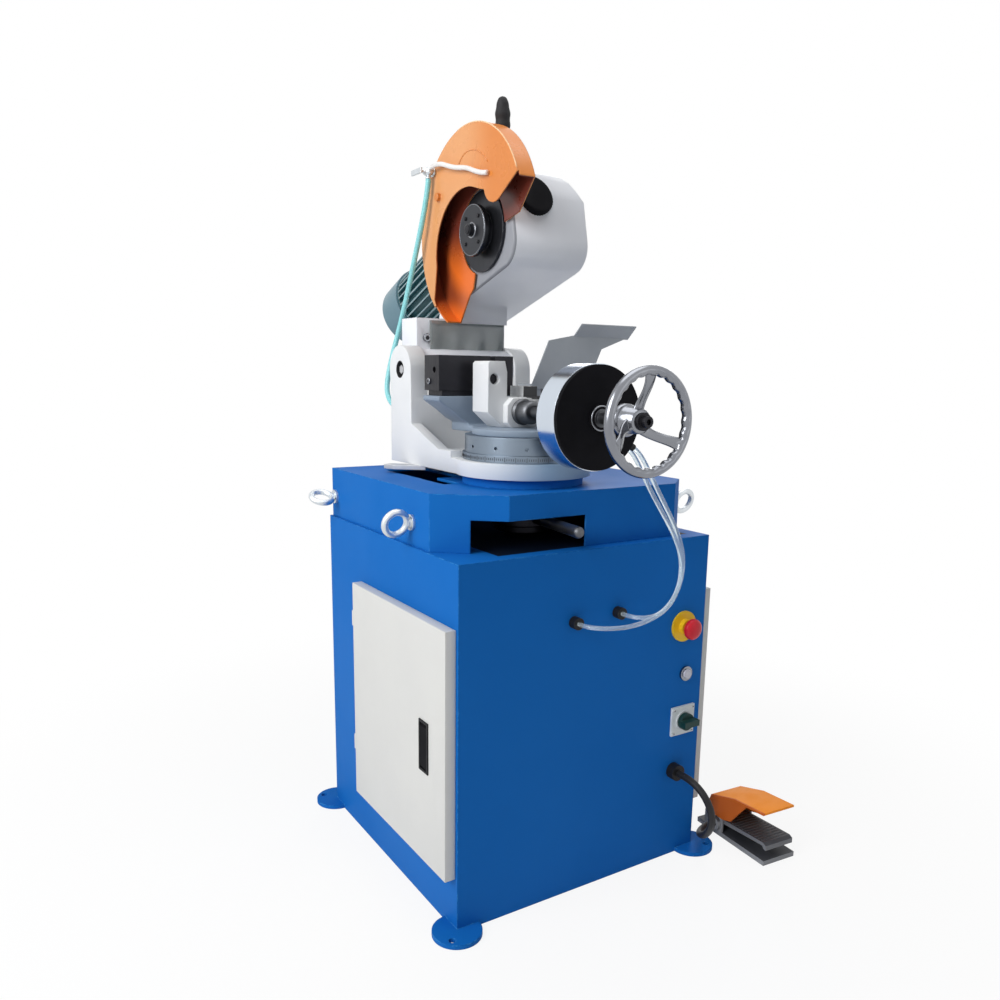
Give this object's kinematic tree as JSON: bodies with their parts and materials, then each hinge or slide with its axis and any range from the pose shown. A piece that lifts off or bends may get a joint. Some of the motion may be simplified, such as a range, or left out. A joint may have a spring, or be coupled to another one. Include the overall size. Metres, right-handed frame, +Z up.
{
  "type": "metal cold saw",
  "caption": "Circular cold saw for metal bar on a blue cabinet, with tilting guarded head, swivelling column, air-clamp vise with handwheel and foot pedal.",
  "frame": {"origin": "middle of the cabinet underside at floor level, centre of the four anchor holes", "axes": "+X to the right seen from the front, +Y to the back, +Z up"},
  "size_m": [0.7684, 0.9986, 1.4518],
  "materials": {
    "blue_paint": "gloss paint",
    "door_paint": "powder coat",
    "white_paint": "gloss paint on casting",
    "case_paint": "satin paint on light-alloy casting",
    "grey_metal": "satin",
    "orange_paint": "gloss paint",
    "orange_plastic": "gloss",
    "teal_paint": "satin paint",
    "fan_paint": "satin paint",
    "black_steel": "blackened",
    "black_plastic": "matte",
    "steel": "machined",
    "chrome": "polished",
    "yellow_plastic": "gloss",
    "red_plastic": "gloss",
    "green_plastic": "satin",
    "grey_plastic": "matte",
    "dark_plastic": "matte",
    "light_plastic": "satin",
    "clear_hose": "clear",
    "teal_hose": "clear",
    "rubber": "matte"
  },
  "bodies": {
    "base": {"cabinet": "blue_paint", "tray": "blue_paint", "lifting_eyes": "chrome", "coolant_tank": "steel", "coolant_pump": "teal_paint", "electric_panel": "grey_plastic", "pedestal": "white_paint", "post": "steel", "scale_band": "steel", "table_disc": "steel", "vise_bed": "grey_metal", "jaw_shoe": "black_steel", "fixed_jaw": "black_steel", "vise_bracket": "black_steel", "drum": "chrome", "drum_cap": "black_plastic", "air_hose_a": "clear_hose", "air_hose_b": "clear_hose", "fittings": "black_plastic", "estop_base": "yellow_plastic", "button_bezel": "chrome", "switch_plate": "light_plastic", "pedal_base": "grey_plastic", "pedal_hood": "orange_plastic", "conduit": "rubber"},
    "left_door": {"left_door": "door_paint", "left_latch": "black_plastic"},
    "right_door": {"right_door": "door_paint", "right_latch": "black_plastic"},
    "left_paddle": {"left_paddle": "dark_plastic"},
    "right_paddle": {"right_paddle": "dark_plastic"},
    "swivel": {"swivel_arm": "white_paint", "pivot_pin": "steel", "stop_tongue": "steel", "splash_sheet": "grey_metal", "hose_barb": "chrome"},
    "lock_lever": {"lock_lever": "steel"},
    "head": {"head_casting": "case_paint", "side_cover": "case_paint", "nose_cap": "black_plastic", "motor": "teal_paint", "fan_cover": "fan_paint", "terminal_box": "teal_paint", "guard": "orange_paint", "handle": "black_plastic", "tap": "chrome", "nozzle": "light_plastic", "coolant_hose": "teal_hose"},
    "spindle": {"spindle": "black_steel"},
    "rotor": {"worm_shaft": "steel"},
    "tap_lever": {"tap_lever": "steel"},
    "jaw": {"moving_jaw": "white_paint", "jaw_nut": "steel"},
    "handwheel": {"vise_screw": "steel", "handwheel": "chrome", "wheel_bolt": "black_steel"},
    "estop_button": {"estop_button": "red_plastic"},
    "push_button": {"push_button": "light_plastic"},
    "switch_knob": {"switch_knob": "green_plastic"},
    "pedal_plate": {"pedal_plate": "dark_plastic"}
  },
  "joints": [
    {"name": "left_door_hinge", "type": "hinge", "parent": "base", "child": "left_door", "pos_m": [-0.285, 0.121, 0.32], "axis": [0, 0, 1], "range_deg": [-100, 0]},
    {"name": "right_door_hinge", "type": "hinge", "parent": "base", "child": "right_door", "pos_m": [0.285, 0.121, 0.32], "axis": [0, 0, 1], "range_deg": [0, 100]},
    {"name": "left_paddle_hinge", "type": "hinge", "parent": "left_door", "child": "left_paddle", "pos_m": [-0.2934, -0.1925, 0.353], "axis": [0, 1, 0], "range_deg": [0, 35]},
    {"name": "right_paddle_hinge", "type": "hinge", "parent": "right_door", "child": "right_paddle", "pos_m": [0.2934, -0.1925, 0.353], "axis": [0, 1, 0], "range_deg": [-35, 0]},
    {"name": "swivel_turn", "type": "hinge", "parent": "base", "child": "swivel", "pos_m": [-0.04, -0.1, 0.78], "axis": [0, 0, 1], "range_deg": [-45, 45]},
    {"name": "lock_lever_turn", "type": "hinge", "parent": "base", "child": "lock_lever", "pos_m": [-0.04, -0.1, 0.69], "axis": [0, 0, 1], "range_deg": [-40, 8]},
    {"name": "head_tilt", "type": "hinge", "parent": "swivel", "child": "head", "pos_m": [-0.015, 0.177, 0.953], "axis": [1, 0, 0], "range_deg": [0, 40], "stiffness_Nm_per_rad": 170, "springref_deg": -11.46, "deforming": ["coolant_hose"]},
    {"name": "spindle_spin", "type": "hinge", "parent": "head", "child": "spindle", "pos_m": [0, 0.06, 1.215], "axis": [1, 0, 0], "continuous": true},
    {"name": "rotor_spin", "type": "hinge", "parent": "head", "child": "rotor", "pos_m": [0.044, 0.07873, 1.26136], "axis": [0, 0.9272, -0.3746], "continuous": true},
    {"name": "tap_turn", "type": "hinge", "parent": "head", "child": "tap_lever", "pos_m": [-0.09, 0.195, 1.341], "axis": [1, 0, 0], "range_deg": [0, 90]},
    {"name": "jaw_slide", "type": "slide", "parent": "base", "child": "jaw", "axis": [0, -1, 0], "range_m": [0, 0.1]},
    {"name": "handwheel_turn", "type": "hinge", "parent": "base", "child": "handwheel", "pos_m": [-0.04, -0.3, 0.879], "axis": [0, -1, 0], "range_deg": [0, 6000]},
    {"name": "estop_push", "type": "slide", "parent": "base", "child": "estop_button", "axis": [0, 1, 0], "range_m": [0, 0.006]},
    {"name": "button_push", "type": "slide", "parent": "base", "child": "push_button", "axis": [0, 1, 0], "range_m": [0, 0.004], "stiffness_N_per_m": 700},
    {"name": "switch_turn", "type": "hinge", "parent": "base", "child": "switch_knob", "pos_m": [0.229, -0.29, 0.285], "axis": [0, 1, 0], "range_deg": [0, 90]},
    {"name": "pedal_press", "type": "hinge", "parent": "base", "child": "pedal_plate", "pos_m": [0.39626, -0.25666, 0.03], "axis": [0.9971, -0.0767, 0], "range_deg": [0, 6], "stiffness_Nm_per_rad": 8, "springref_deg": -6.88}
  ],
  "couplings": [
    {"joint": "spindle_spin", "follows": "rotor_spin", "ratio": 0.05},
    {"joint": "handwheel_turn", "follows": "jaw_slide", "rad_per_m": 1047.2}
  ]
}
